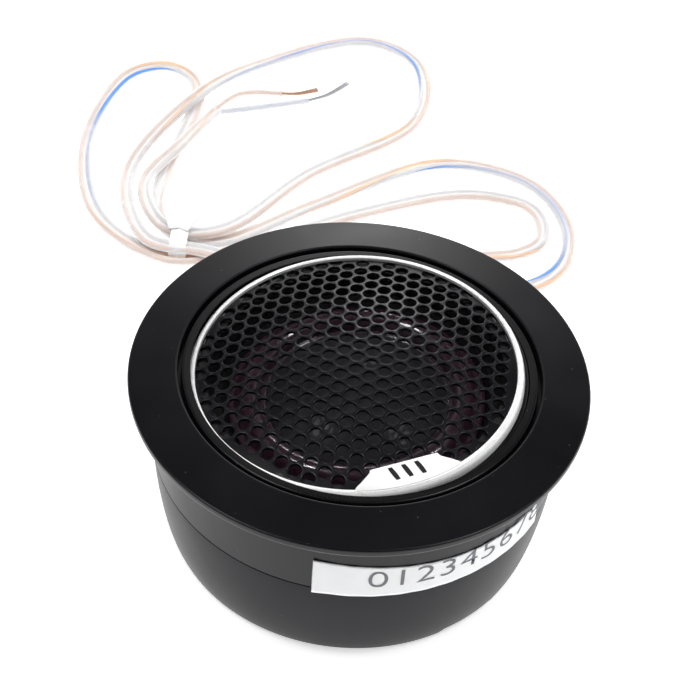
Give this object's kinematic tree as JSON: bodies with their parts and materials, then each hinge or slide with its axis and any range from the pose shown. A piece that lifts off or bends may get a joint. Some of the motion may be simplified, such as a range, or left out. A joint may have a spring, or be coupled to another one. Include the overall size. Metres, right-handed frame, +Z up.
{
  "type": "swivel dome tweeter",
  "caption": "Flush or surface mounted car tweeter: soft dome behind a domed grille in a ball that pans and tilts inside a round flanged cup, with a flat twin lead.",
  "frame": {"origin": "middle of the cup's bottom rim, on the surface the cup stands on", "axes": "+Z up out of the flange, through the grille; the lead leaves the rim towards -X +Y, and the badge plate is towards -Y"},
  "size_m": [0.0891, 0.1508, 0.031],
  "materials": {
    "flange_plastic": "satin moulded black, faint grain",
    "cup_plastic": "satin moulded black, faint grain",
    "label_paper": "smooth coated paper",
    "inner_plastic": "moulded",
    "foam": "open foam",
    "soft_bush": "soft",
    "clear_lead": "clear soft sheath over copper",
    "core_sheath": "clear soft sheath",
    "bare_wire": "fine tinned and copper strands",
    "tie_paper": "white paper-covered wire",
    "socket_plastic": "satin moulded black",
    "ball_plastic": "satin moulded black",
    "screw_steel": "zinc plated",
    "trim_metal": "satin bright metal",
    "emblem_ink": "black print",
    "grille_paint": "semi-gloss black paint on perforated steel",
    "motor_steel": "plated steel",
    "magnet_nickel": "nickel plated",
    "felt": "felt",
    "board": "pressed paper board",
    "tag_tin": "tinned",
    "coil_wire": "enamelled copper",
    "dome_silk": "coated silk",
    "surround_coat": "glossy damping coat on fabric",
    "former_foil": "thin foil"
  },
  "bodies": {
    "housing": {"mounting_flange": "flange_plastic", "rear_cup": "cup_plastic", "number_label": "label_paper", "pressure_ring": "inner_plastic", "foam_ring": "foam", "cable_grommet": "soft_bush", "inner_lead": "clear_lead", "lead_cable": "clear_lead", "lead_cores": "core_sheath", "bare_strands": "bare_wire", "cable_tie": "tie_paper"},
    "swivel_ring": {"socket_ring": "socket_plastic"},
    "ball": {"ball_shell": "ball_plastic", "ball_rear_cap": "inner_plastic", "cap_screws": "screw_steel", "trim_ring": "trim_metal", "badge_emblem": "emblem_ink", "grille": "grille_paint", "baffle_plate": "inner_plastic", "gasket_ring": "foam", "yoke": "motor_steel", "magnet": "magnet_nickel", "top_plate": "motor_steel", "damping_pad": "felt", "terminal_board": "board", "terminal_tags": "tag_tin", "voice_coil_leads": "coil_wire", "ball_lead": "clear_lead"},
    "diaphragm": {"dome": "dome_silk", "surround": "surround_coat", "coil_former": "former_foil", "voice_coil": "coil_wire"}
  },
  "joints": [
    {"name": "ring_pan", "type": "hinge", "parent": "housing", "child": "swivel_ring", "pos_m": [0, 0, 0.0186], "axis": [0, 0, 1], "range_deg": [-180, 180]},
    {"name": "ball_tilt", "type": "hinge", "parent": "swivel_ring", "child": "ball", "pos_m": [0, 0, 0.0186], "axis": [0.2924, -0.9563, 0], "range_deg": [-18.8, 11.2]},
    {"name": "dome_travel", "type": "slide", "parent": "ball", "child": "diaphragm", "axis": [-0.0634, -0.0194, 0.9978], "range_m": [-0.00025, 0.00025], "stiffness_N_per_m": 200, "deforming": ["surround"]}
  ]
}
